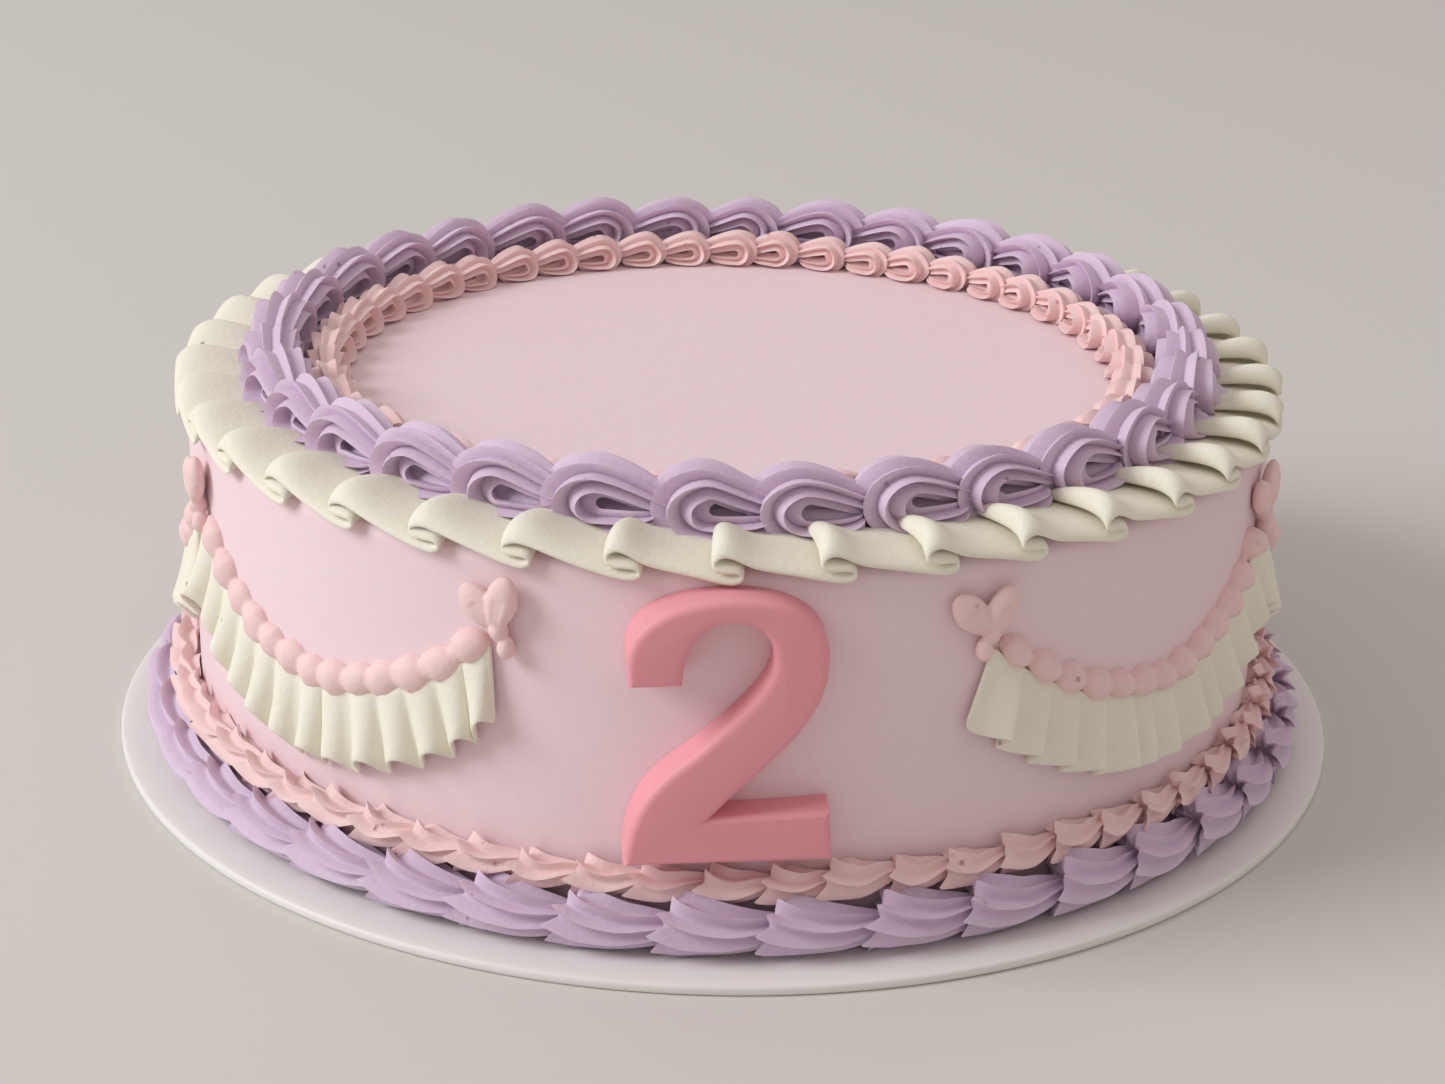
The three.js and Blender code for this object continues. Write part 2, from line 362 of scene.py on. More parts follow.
def makeCake():
    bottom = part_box("cake")[0].z
    bpy.ops.object.select_all(action="DESELECT")
    bpy.ops.mesh.primitive_cylinder_add(
        vertices=cakeSettings["sides"], radius=cakeRadius, depth=cakeTop - bottom,
        location=(0, 0, (cakeTop + bottom) / 2),
    )
    cake = takeNew("cakeBody")
    startEdit(cake)
    bpy.ops.mesh.select_mode(type="EDGE")
    bpy.ops.mesh.select_all(action="DESELECT")
    edit = bmesh.from_edit_mesh(cake.data)
    for edge in edit.edges:
        if min(edge.verts[0].co.z, edge.verts[1].co.z) > cakeTop - 0.1 * mm:
            edge.select_set(True)
    bmesh.update_edit_mesh(cake.data)
    bpy.ops.mesh.bevel(offset=cakeSettings["edge"], segments=6, affect="EDGES")
    insetFlats(cake, cakeSettings["rim"])
    finishPiece(cake, cakeIcing, ["cake"], 40)


makeBoard()
makeCake()


# Piped shells: a star-shaped ring of icing pushed along a short path


def startStar(name, star, station):
    count = star["points"] * 4
    bpy.ops.object.select_all(action="DESELECT")
    bpy.ops.mesh.primitive_circle_add(vertices=count, radius=0.5 * mm, rotation=(0, math.pi / 2, 0))
    ring = takeNew(name)
    startEdit(ring)
    turnPicked(star["turn"], "X", (0, 0, 0))
    sizes = {1: star["under"], 2: star["valley"], 3: star["over"]}
    for step, size in sizes.items():
        pickVerts(ring, lambda vert: vert.index % 4 == step)
        sizePicked((1, size, size), (0, 0, 0))
    bpy.ops.mesh.select_all(action="SELECT")
    sizePicked((1, station["wide"], station["high"]), (0, 0, 0))
    turnPicked(-station["heading"], "Y", (0, 0, 0))
    movePicked((station["along"] * mm, -station["out"] * mm, station["up"] * mm))
    return ring


def spotOf(station):
    return Vector((station["along"], -station["out"], station["up"])) * mm


def pullClaws(stroke, star, mouth):  # the points of the star stand out from the mouth of the shell
    middle = spotOf(mouth)
    first = star["mouth"] * star["points"] * 4
    for point in range(star["points"]):
        tip = first + point * 4
        pickVerts(stroke, lambda vert: vert.index == tip)
        edit = bmesh.from_edit_mesh(stroke.data)
        edit.verts.ensure_lookup_table()
        level = (edit.verts[tip].co.z - middle.z) / (mouth["high"] / 2 * mm)
        sizePicked((1, star["tips"], star["tips"]), middle)
        movePicked((-star["claw"] * max(0.0, 1 - level * level) * mm, 0, 0))
    last = first + star["points"] * 4
    pickVerts(stroke, lambda vert: first <= vert.index < last and vert.index % 4 == 2)
    movePicked((star["claw"] * 0.3 * mm, 0, 0))


def pipeStroke(name, star, stations):
    stroke = startStar(name, star, stations[0])
    for before, after in zip(stations, stations[1:]):
        centre = spotOf(after)
        bpy.ops.mesh.extrude_region_move(TRANSFORM_OT_translate={"value": centre - spotOf(before)})
        turnPicked(before["heading"] - after["heading"], "Y", centre)
        high = after["high"] / before["high"]
        sizePicked((high, after["wide"] / before["wide"], high), centre)
        turnPicked(after.get("twist", 0.0), "X", centre)
        turnPicked(after.get("yaw", 0.0) - before.get("yaw", 0.0), "Z", centre)
    bpy.ops.mesh.select_all(action="SELECT")
    bpy.ops.mesh.fill_holes(sides=0)
    bpy.ops.mesh.normals_make_consistent(inside=False)
    pullClaws(stroke, star, stations[star["mouth"]])
    for phase, crease in {0: star["crisp"], 2: star["groove"]}.items():
        pickVerts(stroke, lambda vert: vert.index % 4 == phase)
        bpy.ops.transform.edge_crease(value=crease)
    leaveEditMode()
    smoothSkin(stroke, 1)
    return stroke


def asStations(rows):
    names = ("along", "out", "up", "heading", "wide", "high", "twist", "yaw")
    return [dict(zip(names, row)) for row in rows]


def swingStations(fan, draw):  # the icing swings round a low pivot and over the top to its tail
    pivotAlong = fan["pivot"][0] + draw.uniform(-0.9, 0.9) * fan["wander"]
    pivotUp = fan["pivot"][1] + draw.uniform(-0.3, 0.3) * fan["wander"]
    rows = []
    for heading, high, wide, out, ahead in fan["swing"]:
        turn = math.radians(heading)
        reach = high / 2 + fan["pit"]
        along = pivotAlong + ahead - math.sin(turn) * reach
        rows.append((along, out, pivotUp + math.cos(turn) * reach, heading, wide, high))
    return asStations(rows + fan["tail"])


def unevenStations(stations, draw, amount):
    rough = []
    for station in stations:
        changed = dict(station)
        changed["along"] += draw.uniform(-0.3, 0.3) * amount
        changed["up"] += draw.uniform(-0.25, 0.25) * amount
        changed["wide"] *= 1 + draw.uniform(-0.05, 0.05) * amount
        changed["high"] *= 1 + draw.uniform(-0.05, 0.05) * amount
        changed["heading"] += draw.uniform(-4, 4) * amount
        rough.append(changed)
    return rough


def pipeBorder(name, border):
    draw = random.Random(border["seed"])
    kinds = []
    for number in range(border["kinds"]):
        star = dict(border["star"])
        star["turn"] += draw.uniform(-1, 1) * star["spin"]
        star["claw"] *= draw.uniform(0.7, 1.3)
        path = swingStations(border["fan"], draw) if "fan" in border else asStations(border["path"])
        kind = pipeStroke(f"{name} kind {number}", star, unevenStations(path, draw, border["uneven"]))
        rollOn(kind, border["radius"] * mm)
        kind.data.transform(Matrix.Translation((0, 0, border["floor"])))
        kinds.append(kind)
    shells = []
    pitch = 360 / border["count"]
    for index in range(border["count"]):
        kind = kinds[draw.randrange(len(kinds))]
        shell = copyPiece(kind, f"{name} shell {index}")
        size = 1 + draw.uniform(-0.05, 0.02)
        middle = Vector((0, -border["radius"] * mm, border["floor"]))
        grow = Matrix.Diagonal((size, size, size, 1))
        grow = Matrix.Translation(middle) @ grow @ Matrix.Translation(-middle)
        shell.data.transform(grow)
        angle = (index + border["start"] + draw.uniform(-0.04, 0.04)) * pitch
        shell.data.transform(Matrix.Rotation(math.radians(angle), 4, "Z"))
        shells.append(shell)
    for kind in kinds:
        bpy.data.objects.remove(kind, do_unlink=True)
    return fusePieces(shells, name)


lilacTopSettings = {
    "count": 32, "radius": 92.6, "floor": cakeTop, "start": 0.0, "seed": 21, "kinds": 4, "uneven": 0.4,
    "star": {
        "points": 9, "turn": 0, "spin": 12, "under": 0.72, "valley": 0.5, "over": 0.76,
        "crisp": 0.4, "groove": 0.5, "mouth": 1, "claw": 0, "tips": 1.0,
    },
    "fan": {
        "pivot": (12.6, 5.2), "pit": 0.35, "wander": 1.0,
        # heading, high, wide, out, how far ahead of the pivot
        "swing": [
            (186, 2.4, 6.0, 2.0, 9.6),
            (186, 4.6, 11.6, 2.0, 8.0),
            (184, 5.4, 14.6, 1.8, 4.6),
            (180, 5.8, 15.4, 1.5, 1.6),
            (160, 6.6, 15.4, 1.3, 0.0),
            (138, 8.2, 15.2, 1.0, 0.0),
            (116, 10.4, 15.0, 0.8, 0.0),
            (94, 12.0, 14.6, 0.6, 0.0),
            (72, 11.8, 14.0, 0.4, 0.0),
            (50, 10.2, 13.2, 0.2, 0.0),
            (28, 8.6, 12.6, 0.0, 0.0),
            (6, 7.8, 11.8, 0.0, 0.0),
        ],
        # along, out, up, heading, wide, high
        "tail": [
            (15.8, 0.2, 8.3, -12, 10.8, 7.2),
            (19.4, 0.5, 6.8, -18, 9.4, 6.2),
            (23.0, 0.8, 5.4, -16, 7.6, 5.0),
            (26.0, 1.0, 4.6, -8, 4.2, 3.0),
        ],
    },
}
lilacBaseSettings = {
    "count": 40, "radius": 115.9, "floor": boardTop, "start": 0.2, "seed": 22, "kinds": 4, "uneven": 0.7,
    "star": {
        "points": 9, "turn": 10, "spin": 9, "under": 0.6, "valley": 0.6, "over": 0.83,
        "crisp": 0.9, "groove": 0.3, "mouth": 2, "claw": 2.6, "tips": 1.05,
    },
    # along, out, up, heading, wide, high, twist, yaw
    "path": [
        (5.4, 0.0, 5.6, 0, 4.0, 4.0, 0, 0),
        (3.0, 0.0, 5.8, -4, 8.2, 8.6, 0, -14),
        (2.2, 0.0, 6.0, -8, 12.4, 12.8, 0, -28),
        (3.6, 0.0, 6.1, -8, 12.4, 12.8, 16, -26),
        (5.8, 0.0, 6.1, -6, 12.2, 12.4, 12, -18),
        (8.8, 0.0, 5.8, -8, 11.4, 11.4, 6, -10),
        (12.2, 0.0, 5.2, -8, 10.4, 10.0, 0, -4),
        (15.8, -0.3, 4.8, -4, 9.0, 8.6, -6, 0),
        (19.4, -0.6, 4.6, 2, 7.4, 7.0, -8, 0),
        (23.2, -0.8, 4.8, 6, 5.2, 4.8, -8, 0),
        (25.6, -0.8, 5.0, 6, 2.6, 2.6, 0, 0),
    ],
}
pinkTopSettings = {
    "count": 48, "radius": 82.4, "floor": cakeTop, "start": 0.1, "seed": 23, "kinds": 6, "uneven": 0.7,
    "star": {
        "points": 7, "turn": 0, "spin": 24, "under": 0.74, "valley": 0.52, "over": 0.74,
        "crisp": 0.4, "groove": 0.3, "mouth": 1, "claw": 0, "tips": 1.0,
    },
    "fan": {
        "pivot": (6.6, 2.6), "pit": 0.2, "wander": 0.8,
        "swing": [
            (188, 1.4, 3.6, -0.8, 5.6),
            (186, 2.6, 7.4, -0.8, 4.4),
            (180, 3.0, 9.6, -0.8, 1.6),
            (160, 3.4, 10.2, -0.6, 0.0),
            (136, 4.4, 10.4, -0.4, 0.0),
            (110, 5.8, 10.2, -0.2, 0.0),
            (84, 6.4, 9.8, 0.0, 0.0),
            (56, 5.8, 9.2, 0.0, 0.0),
            (28, 5.2, 8.6, 0.0, 0.0),
            (4, 4.8, 8.0, 0.0, 0.0),
        ],
        "tail": [
            (9.2, 0.0, 4.5, -14, 7.0, 4.4),
            (12.2, 0.0, 3.4, -16, 5.6, 3.8),
            (15.0, 0.0, 2.6, -8, 3.0, 2.2),
        ],
    },
}
pinkBaseSettings = {
    "count": 64, "radius": 112.6, "floor": boardTop, "start": 0.3, "seed": 24, "kinds": 6, "uneven": 1.3,
    "star": {
        "points": 6, "turn": 8, "spin": 26, "under": 0.56, "valley": 0.56, "over": 0.84,
        "crisp": 0.85, "groove": 0.3, "mouth": 2, "claw": 1.8, "tips": 1.14,
    },
    "path": [
        (3.4, 0.0, 12.6, 0, 2.4, 2.4, 0, 0),
        (1.8, 0.2, 12.9, -8, 5.6, 6.0, 0, -14),
        (1.2, 0.2, 12.9, -6, 8.6, 8.6, 0, -26),
        (2.6, 0.2, 12.8, -10, 8.4, 8.4, 22, -22),
        (4.6, 0.1, 12.5, -8, 7.8, 7.8, 14, -14),
        (7.0, 0.0, 12.3, 2, 6.8, 6.8, -4, -6),
        (9.6, -0.1, 12.5, 8, 5.6, 5.6, -14, 0),
        (12.4, -0.3, 12.8, 8, 4.2, 4.2, -10, 0),
        (14.6, -0.4, 13.0, 6, 2.2, 2.4, 0, 0),
    ],
}

lilacTop = pipeBorder("lilacTopBorder", lilacTopSettings)
finishPiece(lilacTop, lilacIcing, ["lilac_top_border"])
pinkTop = pipeBorder("pinkTopBorder", pinkTopSettings)
finishPiece(pinkTop, pinkIcing, ["pink_top_border"])
lilacBase = pipeBorder("lilacBaseBorder", lilacBaseSettings)
finishPiece(lilacBase, lilacIcing, ["lilac_base_border"])
pinkBase = pipeBorder("pinkBaseBorder", pinkBaseSettings)
finishPiece(pinkBase, pinkIcing, ["pink_base_border"])


# Ribbon folded round the top edge

ruffleSettings = {
    "folds": 38, "kinds": 6, "seed": 31, "thickness": 1.15, "radius": 110.0, "start": -0.3,
    "narrow": (-14, 170),  # degrees round the cake between which the folds are narrow
    "pull": 0.3,  # how much narrower they are
    "rows": [  # radius, how much of the crest's swelling, share of the doubled back fold, share of the root
        (112.2, -0.35, 1.0, 0.0),
        (111.5, 0.3, 1.0, 0.0),
        (109.6, 0.85, 1.0, 0.0),
        (106.4, 1.05, 1.0, 0.15),
        (101.6, 0.9, 0.8, 0.55),
        (96.0, 0.2, 0.5, 1.0),
    ],
    # along the rim, height over the cake's edge, height of the swelling, height at the root
    "fold": [
        (-0.3, 1.6, 2.0, 1.9),
        (0.4, 3.0, 2.6, 2.6),
        (2.6, 3.7, 2.6, 2.6),
        (5.6, 2.9, 2.0, 2.2),
        (9.6, 1.4, 1.3, 1.7),
        (14.4, 0.0, 1.2, 1.2),
        (19.0, -1.1, 1.4, 0.8),
        (22.4, -1.5, 1.6, 0.75),
        (24.0, -0.5, 1.5, 0.9),
        (23.2, 0.7, 1.6, 1.4),
        (20.9, 0.8, 1.8, 1.6),
        (18.9, 0.9, 2.0, 1.75),
    ],
}


def layStrip(name, columns, rows, spot):  # a sheet whose every point is pulled to its place
    bpy.ops.object.select_all(action="DESELECT")
    bpy.ops.mesh.primitive_grid_add(x_subdivisions=columns - 1, y_subdivisions=rows - 1, size=10 * mm)
    strip = takeNew(name)
    startEdit(strip)
    starts = [vert.co.copy() for vert in bmesh.from_edit_mesh(strip.data).verts]
    for row in range(rows):
        for column in range(columns):
            index = row * columns + column
            pickVerts(strip, lambda vert: vert.index == index)
            movePicked(Vector(spot(column, row)) * mm - starts[index])
    leaveEditMode()
    return strip


def thicken(piece, thickness, levels, rim=0.0):
    wall = piece.modifiers.new("thickness", "SOLIDIFY")
    wall.thickness = thickness * mm
    wall.offset = 0.0
    wall.edge_crease_rim = rim
    applyAll(piece)
    smoothSkin(piece, levels)


def makeRuffle():
    settings = ruffleSettings
    fold = settings["fold"]
    pitch = math.radians(360 / settings["folds"]) * settings["radius"]
    draw = random.Random(settings["seed"])
    kinds = []
    for number in range(settings["kinds"]):
        spreads = {"tall": (-0.25, 0.35), "tuck": (-0.9, 0.7), "slope": (-0.3, 0.3)}
        wave = {key: draw.uniform(*spread) for key, spread in spreads.items()}
        wave["pull"] = settings["pull"] * (number % 2)

        def spot(column, row):
            radius, swell, tuck, root = settings["rows"][row]
            along, rim, swelling, rootHeight = fold[column % len(fold)]
            inner = 0 < column < len(fold)
            back = max(0.0, along - pitch) * tuck
            reach = min(along, pitch) + back
            if 1 < column < 5:
                reach *= 1 - wave["pull"]
            if inner and column >= 6:
                reach += wave["tuck"] * tuck * min(1.0, back / 3)
            height = rim * (1 - root) + rootHeight * root + swelling * swell * (1 - root * 0.4)
            if inner:
                height += (wave["tall"] if column < 4 else wave["slope"] * 0.5) * (1 - root)
            if column == len(fold):
                reach += pitch
            return (reach, settings["radius"] - radius, height + cakeTop / mm)

        kind = layStrip(f"ruffle kind {number}", len(fold) + 1, len(settings["rows"]), spot)
        rollOn(kind, settings["radius"] * mm)
        kinds.append(kind)
    parts = []
    for index in range(settings["folds"]):
        degrees = (index + settings["start"]) * 360 / settings["folds"]
        first, last = settings["narrow"]
        narrow = first < (degrees + 180) % 360 - 180 < last
        kind = kinds[draw.randrange(len(kinds) // 2) * 2 + (1 if narrow else 0)]
        parts.append(copyPiece(kind, f"fold {index}", degrees))
    for kind in kinds:
        bpy.data.objects.remove(kind, do_unlink=True)
    ruffle = joinPieces(parts, "ribbonRuffle")
    fixNormals(ruffle)
    thicken(ruffle, settings["thickness"], 2, 0.35)
    finishPiece(ruffle, creamIcing, ["ribbon_ruffle"], 60)


makeRuffle()


# Swags: strings of beads with a pleated frill under them

swagSettings = {
    "span": 45.0, "knot": 58.8, "dip": 39.8, "radius": 110.2,
    "bead": {
        "count": 13, "ends": 0.035, "voxel": 0.4,
        "pressed": {-1.0: 0.86, -3.0: 0.7},  # how thin the side is that the bead before presses on
    },
    "frill": {
        "pleats": 13, "tuck": 1.5, "endWidth": 17.4, "topReach": 0.6,
        "thickness": 1.1, "fan": 0.55, "ends": 0.02, "downs": (0.0, 0.22, 0.48, 0.76, 1.0),
    },
}


def swagLine(t):  # place along the side, height and slope of the line of a swag
    span = math.radians(swagSettings["span"]) * swagSettings["radius"]
    fall = swagSettings["knot"] - swagSettings["dip"]
    sway = 2 * t - 1
    return span * t, swagSettings["dip"] + fall * sway * sway, math.atan(4 * fall * sway / span)


def makeBead(name, draw, bead):
    bpy.ops.object.select_all(action="DESELECT")
    bpy.ops.mesh.primitive_uv_sphere_add(
        segments=20, ring_count=12, radius=0.5 * mm, rotation=(0, math.pi / 2, 0)
    )
    ball = takeNew(name)
    startEdit(ball)
    sizes = (bead["long"], bead["proud"] * 2, bead["high"])
    sizePicked([size * draw.uniform(0.9, 1.08) for size in sizes], (0, 0, 0))
    for place, share in bead["pressed"].items():
        pickVerts(ball, lambda vert: vert.co.x < place * mm)
        sizePicked((1, share, share), (place * mm, 0, 0))
    bpy.ops.mesh.select_all(action="SELECT")
    return ball


def makeBeadString(name, seed, shape):
    bead = dict(swagSettings["bead"], **shape)
    draw = random.Random(seed)
    balls = []
    for number in range(bead["count"]):
        t = bead["ends"] + (1 - 2 * bead["ends"]) * (number + 0.5) / bead["count"]
        along, height, slope = swagLine(t)
        ball = makeBead(f"{name} bead {number}", draw, bead)
        turnPicked(-math.degrees(slope) + draw.uniform(-13, 13), "Y", (0, 0, 0))
        turnPicked(draw.uniform(-7, 9), "Z", (0, 0, 0))
        lift = draw.uniform(-0.45, 0.45)
        movePicked((along * mm, -draw.uniform(-0.3, 0.1) * mm, (height + lift) * mm))
        leaveEditMode()
        balls.append(ball)
    string = joinPieces(balls, name)
    rollOn(string, swagSettings["radius"] * mm)
    skin = string.modifiers.new("one skin", "REMESH")
    skin.mode = "VOXEL"
    skin.voxel_size = bead["voxel"] * mm
    soften = string.modifiers.new("soften", "SMOOTH")
    soften.factor = 0.5
    soften.iterations = 2
    applyAll(string)
    return string


def makeFrill(name, seed, endFans, fold):
    frill = swagSettings["frill"]
    draw = random.Random(seed)
    wave = fold["wave"]
    columns = frill["pleats"] * len(wave) + 1
    size = [draw.uniform(0.82, 1.1) for _ in range(frill["pleats"] + 1)]
    drift = [draw.uniform(-0.35, 0.35) for _ in range(frill["pleats"] + 1)]

    def spot(column, row):
        pleat, phase = divmod(column, len(wave))
        place, crest = wave[phase]
        end = column in (0, columns - 1)
        down = frill["downs"][row]
        step = (pleat + place + (0 if end else drift[pleat] * 0.5)) / frill["pleats"]
        t = frill["ends"] + (1 - 2 * frill["ends"]) * min(1.0, max(0.0, step))
        along, height, slope = swagLine(t)
        middle = 1 - (2 * t - 1) ** 2
        fan = endFans[0] if t < 0.5 else endFans[1]
        fan += (frill["fan"] - fan) * min(1.0, middle * 1.6)
        angle = slope * fan
        width = frill["endWidth"] + (fold["width"] - frill["endWidth"]) * middle
        width *= 0.95 + 0.05 * size[pleat]
        depth = down ** fold["growth"]
        crest = 0.3 if end else crest * size[pleat]
        reach = frill["topReach"] * (1 + crest) + fold["reach"] * depth * crest
        shift = fold["lean"] * (crest - 0.5) * depth * (0 if end else 1)
        reachDown = frill["tuck"] + (width - frill["tuck"]) * down - fold["rise"] * crest * down * down
        x = along + math.sin(angle) * reachDown + shift
        z = height - math.cos(angle) * reachDown
        return (x, -reach, z)

    sheet = layStrip(name, columns, len(frill["downs"]), spot)
    rollOn(sheet, swagSettings["radius"] * mm)
    thicken(sheet, frill["thickness"], 2, 0.2)
    return sheet


softFold = {  # place in the pleat and how far out the sheet of icing stands there
    "wave": [(0.0, 0.0), (0.11, 0.2), (0.25, 0.76), (0.5, 1.0), (0.75, 0.78), (0.89, 0.22)],
    "lean": 0.2, "reach": 3.7, "rise": 4.4, "width": 18.4, "growth": 1.1,
}
leaningFold = {
    "wave": [(0.0, 0.0), (0.22, 0.1), (0.5, 0.36), (0.76, 0.76), (0.92, 1.0), (0.99, 0.6)],
    "lean": 0.8, "reach": 4.4, "rise": 3.0, "width": 17.6, "growth": 0.8,
}
frillKinds = {
    "soft": makeFrill("soft frill", 51, (0.25, 0.25), softFold),
    "softOpen": makeFrill("soft frill open on the right", 52, (0.25, 0.05), softFold),
    "leaning": makeFrill("leaning frill", 53, (0.25, 0.25), leaningFold),
    "leaningOpen": makeFrill("leaning frill open on the left", 54, (0.5, 0.25), leaningFold),
}
frillOrder = ["leaningOpen", "leaning", "soft", "leaning", "soft", "soft", "softOpen"]
beadShapes = {
    "plump": {"long": 8.2, "high": 6.1, "proud": 4.0},
    "flat": {"long": 9.8, "high": 7.2, "proud": 3.1},
}
stringKinds = {shape: makeBeadString(shape + " beads", 41, sizes) for shape, sizes in beadShapes.items()}
stringOrder = ["plump", "plump", "flat", "plump", "flat", "flat", "flat"]
for number, kindName in enumerate(frillOrder):
    turn = (number + 0.5) * swagSettings["span"]
    frill = copyPiece(frillKinds[kindName], f"frill{number + 1}", turn)
    finishPiece(frill, creamIcing, [f"frill_{number + 1}"], 60)
    string = copyPiece(stringKinds[stringOrder[number]], f"beadString{number + 1}", turn)
    finishPiece(string, pinkIcing, [f"bead_string_{number + 1}"], 60)
for kind in list(frillKinds.values()) + list(stringKinds.values()):
    bpy.data.objects.remove(kind, do_unlink=True)


# Bows

bowSettings = {
    "wall": 110.2, "knot": (3.6, 3.8, 4.4), "loopWidth": 6.2, "loopDepth": 3.7, "drop": 3.4,
    "dent": {"half": 0.9, "top": 0.1, "deep": 0.28}, "voxel": 0.26,
    "kinds": [  # lean and length of the two loops, place of the drop beside the knot
        {"left": (-42, 10.4), "right": (27, 9.6), "side": -0.8},
        {"left": (-40, 10.2), "right": (12, 10.8), "side": 1.8},
        {"left": (-38, 10.8), "right": (28, 10.0), "side": 0.4},
    ],
    "order": [0, 1, 2, 1, 0, 2, 1, 1],
}


def makeLoop(name, lean, length, proud):
    bows = bowSettings
    bpy.ops.object.select_all(action="DESELECT")
    bpy.ops.mesh.primitive_uv_sphere_add(segments=28, ring_count=18, radius=0.5 * mm)
    loop = takeNew(name)
    startEdit(loop)
    sizePicked((bows["loopWidth"], bows["loopDepth"], length), (0, 0, 0))
    waist = {-0.05: 0.9, -0.2: 0.86, -0.34: 0.8}  # narrower towards the knot
    for share, size in waist.items():
        pickVerts(loop, lambda vert: vert.co.z < share * length * mm)
        sizePicked((size, 1, 1), (0, 0, 0))
    dent = bows["dent"]

    def inDent(vert):
        return vert.co.y < 0 and abs(vert.co.x) < dent["half"] * mm and vert.co.z < dent["top"] * length * mm

    pickVerts(loop, inDent)
    movePicked((0, dent["deep"] * mm, 0))
    bpy.ops.mesh.select_all(action="SELECT")
    movePicked((0, 0, length * 0.48 * mm))
    turnPicked(lean, "Y", (0, 0, 0))
    movePicked((0, -(bows["wall"] + bows["loopDepth"] * 0.4 + proud) * mm, swagSettings["knot"] * mm))
    leaveEditMode()
    return loop


def makeLump(name, sizes, place):
    bpy.ops.object.select_all(action="DESELECT")
    bpy.ops.mesh.primitive_uv_sphere_add(segments=20, ring_count=12, radius=0.5 * mm)
    lump = takeNew(name)
    startEdit(lump)
    sizePicked(sizes, (0, 0, 0))
    pickVerts(lump, lambda vert: vert.co.z > 0)
    sizePicked((0.9, 0.95, 1.05), (0, 0, 0))
    bpy.ops.mesh.select_all(action="SELECT")
    movePicked(Vector(place) * mm)
    leaveEditMode()
    return lump


def makeBow(name, kind):
    bows = bowSettings
    knotHeight = swagSettings["knot"]
    drop = bows["drop"]
    dropSizes = (drop, drop, drop * 1.3)
    parts = [
        makeLoop(name + " left", kind["left"][0], kind["left"][1], 0.0),
        makeLoop(name + " right", kind["right"][0], kind["right"][1], 0.7),
        makeLump(name + " knot", bows["knot"], (0.4, -(bows["wall"] + 1.6), knotHeight + 0.2)),
        makeLump(name + " drop", dropSizes, (kind["side"], -(bows["wall"] + 1.7), knotHeight - 3.0)),
    ]
    bow = joinPieces(parts, name)
    skin = bow.modifiers.new("one skin", "REMESH")
    skin.mode = "VOXEL"
    skin.voxel_size = bows["voxel"] * mm
    soften = bow.modifiers.new("soften", "SMOOTH")
    soften.factor = 0.5
    soften.iterations = 3
    applyAll(bow)
    return bow


bowKinds = [makeBow(f"bow kind {number}", kind) for number, kind in enumerate(bowSettings["kinds"])]
for number, kindNumber in enumerate(bowSettings["order"]):
    bow = copyPiece(bowKinds[kindNumber], f"bow{number + 1}", (number + 0.5) * swagSettings["span"])
    finishPiece(bow, pinkIcing, [f"bow_{number + 1}"], 60)
for kind in bowKinds:
    bpy.data.objects.remove(kind, do_unlink=True)


# Figure two

figureSettings = {
    "foot": 20.6, "front": 117.3, "angle": -1.1, "turn": 3.7, "lean": 1.0, "edge": 1.5,
    "depth": 16.0, "steps": 9,
    "outline": [  # corners in mm, or the two handles and the end of a curve
        ((-18.4, 0.0),),
        ((18.1, 0.0),),
        ((17.6, 9.5),),
        ((-3.1, 8.8),),
        ((5.2, 18.2), (17.4, 25.0), (17.4, 38.0)),
        ((17.4, 45.4), (10.8, 49.6), (1.0, 49.6)),
        ((-8.5, 49.6), (-17.4, 46.0), (-17.4, 38.0)),
        ((-17.1, 33.8),),
        ((-7.9, 33.8),),
        ((-7.4, 43.0), (-3.4, 45.1), (1.0, 45.1)),
        ((5.4, 45.1), (7.8, 42.4), (7.8, 38.2)),
        ((7.8, 33.0), (1.0, 27.2), (-6.0, 20.9)),
        ((-11.8, 16.4), (-17.6, 12.4), (-18.4, 0.0)),
    ],
}


def figureOutline():
    points = []
    for entry in figureSettings["outline"]:
        if len(entry) == 1:
            points.append(Vector(entry[0]))
            continue
        start = points[-1]
        for step in range(1, figureSettings["steps"] + 1):
            t = step / figureSettings["steps"]
            first, second, last = (Vector(corner) for corner in entry)
            early = start * (1 - t) ** 3 + first * 3 * t * (1 - t) ** 2
            points.append(early + second * 3 * t * t * (1 - t) + last * t ** 3)
    return points[:-1]


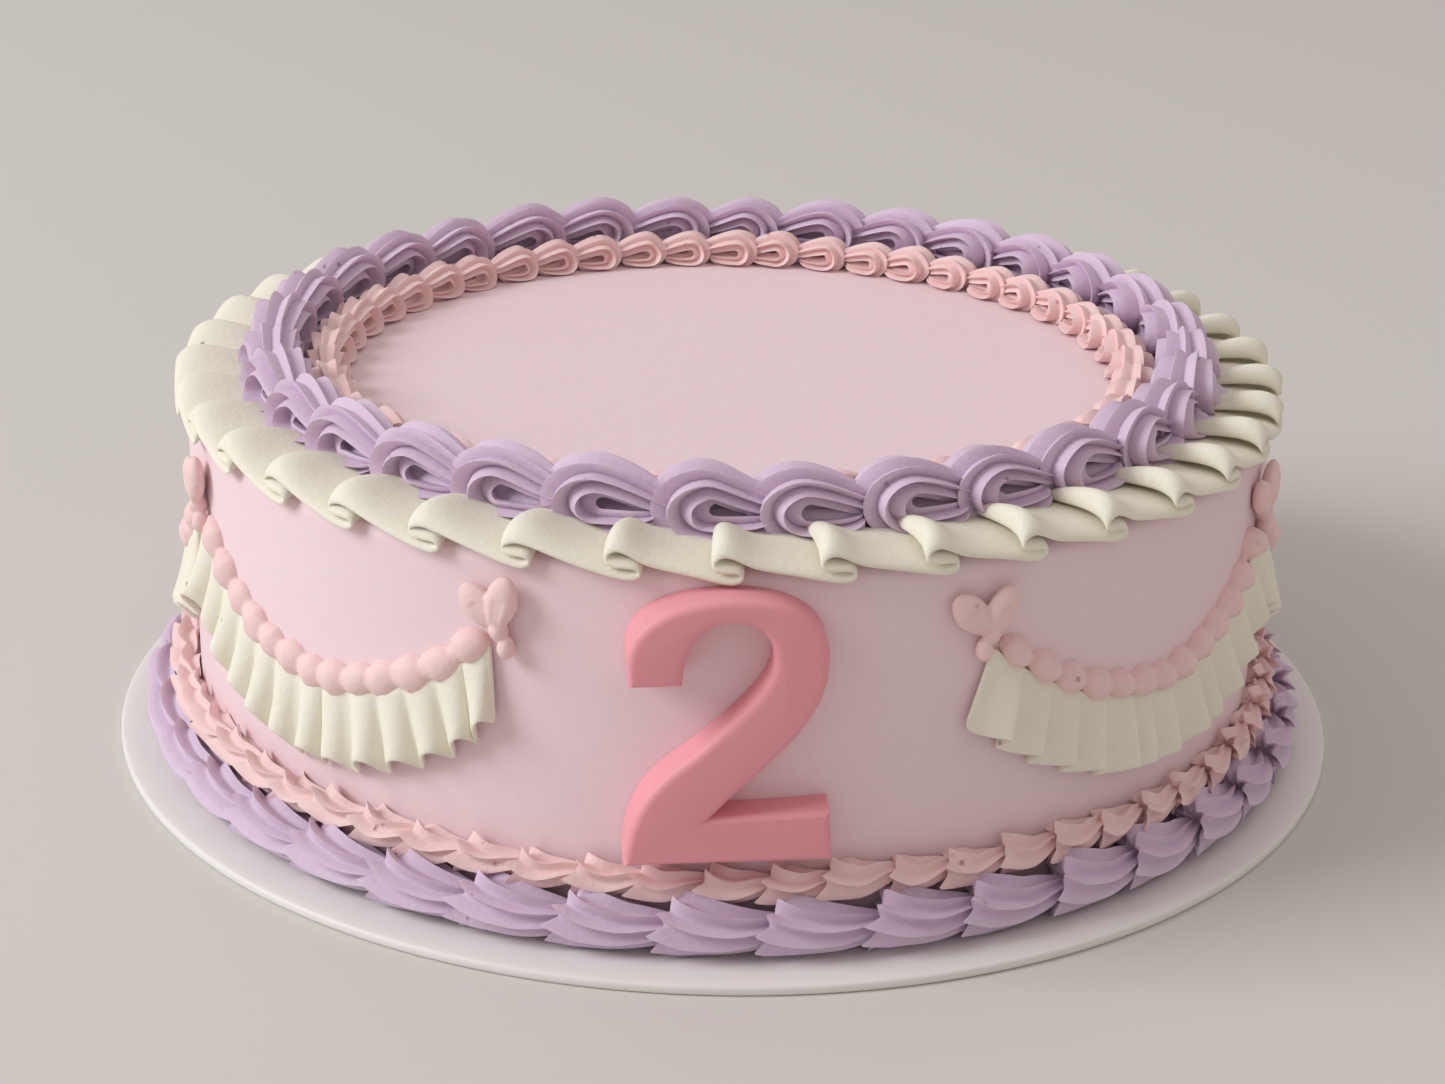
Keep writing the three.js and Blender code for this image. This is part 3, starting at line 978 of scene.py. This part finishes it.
def makeFigure():
    settings = figureSettings
    points = figureOutline()
    bpy.ops.object.select_all(action="DESELECT")
    bpy.ops.mesh.primitive_circle_add(vertices=len(points), radius=1 * mm, fill_type="NOTHING")
    figure = takeNew("figureTwo")
    startEdit(figure)
    starts = [vert.co.copy() for vert in bmesh.from_edit_mesh(figure.data).verts]
    for index, point in enumerate(points):
        pickVerts(figure, lambda vert: vert.index == index)
        movePicked(Vector((point.x, 0, point.y)) * mm - starts[index])
    bpy.ops.mesh.select_all(action="SELECT")
    bpy.ops.mesh.edge_face_add()
    bpy.ops.mesh.extrude_region_move(TRANSFORM_OT_translate={"value": (0, settings["depth"] * mm, 0)})
    bpy.ops.mesh.select_all(action="SELECT")
    bpy.ops.mesh.normals_make_consistent(inside=False)
    bpy.ops.mesh.select_mode(type="EDGE")
    bpy.ops.mesh.select_all(action="DESELECT")
    edit = bmesh.from_edit_mesh(figure.data)
    for edge in edit.edges:
        if all(abs(vert.co.y) < 0.01 * mm for vert in edge.verts):
            edge.select_set(True)
    bmesh.update_edit_mesh(figure.data)
    bpy.ops.mesh.bevel(offset=settings["edge"] * mm, segments=5, affect="EDGES")
    leaveEditMode()
    startEdit(figure)
    turnPicked(-settings["lean"], "Y", (0, 0, 0))
    turnPicked(settings["angle"] + settings["turn"], "Z", (0, 0, 0))
    angle = math.radians(settings["angle"])
    front = settings["front"]
    movePicked(Vector((front * math.sin(angle), -front * math.cos(angle), settings["foot"])) * mm)
    leaveEditMode()
    bpy.ops.object.select_all(action="DESELECT")
    bpy.ops.mesh.primitive_cylinder_add(vertices=256, radius=cakeRadius + 0.05 * mm, depth=0.2)
    side = takeNew("side of the cake")
    cut = figure.modifiers.new("back", "BOOLEAN")
    cut.operation = "DIFFERENCE"
    cut.object = side
    cut.solver = "MANIFOLD"
    applyAll(figure)
    bpy.data.objects.remove(side, do_unlink=True)
    finishPiece(figure, fondant, ["figure_two"], 35)


makeFigure()


# Floor, light and camera


def makeStudio():
    bpy.ops.object.select_all(action="DESELECT")
    bpy.ops.mesh.primitive_plane_add(size=6.0, location=(0, 0, 0))
    floor = takeNew("floor")
    paint = Recipe("pale floor")
    skin = paint.node("ShaderNodeBsdfPrincipled", {}, {"Base Color": hue(214, 211, 207), "Roughness": 0.65})
    paint.node("ShaderNodeOutputMaterial", {}, {"Surface": skin})
    floor.data.materials.append(paint.material)

    world = bpy.data.worlds.new("soft room")
    bpy.context.scene.world = world
    world.use_nodes = True
    room = Recipe("soft room", world.node_tree)
    aim = room.node("ShaderNodeTexCoord", out=0)
    rightwards = room.node("ShaderNodeSeparateXYZ", {}, {"Vector": aim}, out=0)
    upwards = room.node("ShaderNodeSeparateXYZ", {}, {"Vector": aim}, out=2)
    glow = rightwards.clipped() * 0.1 + upwards.clipped() * 0.24 + 0.36
    sky = room.node("ShaderNodeBackground", {}, {"Color": (1.0, 0.92, 0.885, 1.0), "Strength": glow})
    room.node("ShaderNodeOutputWorld", {}, {"Surface": sky})
    bpy.context.scene.view_settings.view_transform = "Standard"
    lamps = {
        "window": {"place": (-2.46, -0.44, 1.66), "size": 1.4, "power": 57.0, "colour": (0.97, 1.0, 1.02)},
    }
    for name, lamp in lamps.items():
        light = bpy.data.lights.new(name, "AREA")
        light.energy = lamp["power"]
        light.size = lamp["size"]
        light.color = lamp["colour"]
        holder = bpy.data.objects.new(name, light)
        holder.location = lamp["place"]
        aim = Vector((0, 0, 0.04)) - holder.location
        holder.rotation_euler = aim.to_track_quat("-Z", "Y").to_euler()
        bpy.context.scene.collection.objects.link(holder)


def makeCamera():
    lens = {"pitch": 21.409, "distance": 590.77, "target": (-0.79, 0.0, 34.92), "roll": 1.037, "side": -1.75}
    pitch = math.radians(lens["pitch"])
    roll = math.radians(lens["roll"])
    ahead = Vector((0, math.cos(pitch), -math.sin(pitch)))
    up = Vector((0, math.sin(pitch), math.cos(pitch)))
    right = Vector((1, 0, 0))
    leanRight = right * math.cos(roll) + up * math.sin(roll)
    leanUp = up * math.cos(roll) - right * math.sin(roll)
    place = (Vector(lens["target"]) - ahead * lens["distance"]) * mm
    data = bpy.data.cameras.new("camera")
    data.sensor_width = 36.0
    data.lens = 69.76
    camera = bpy.data.objects.new("camera", data)
    axes = Matrix((leanRight, leanUp, -ahead)).transposed().to_4x4()
    swing = Matrix.Rotation(math.radians(lens["side"]), 4, "Z")
    camera.matrix_world = swing @ Matrix.Translation(place) @ axes
    bpy.context.scene.collection.objects.link(camera)
    bpy.context.scene.camera = camera


makeStudio()
makeCamera()
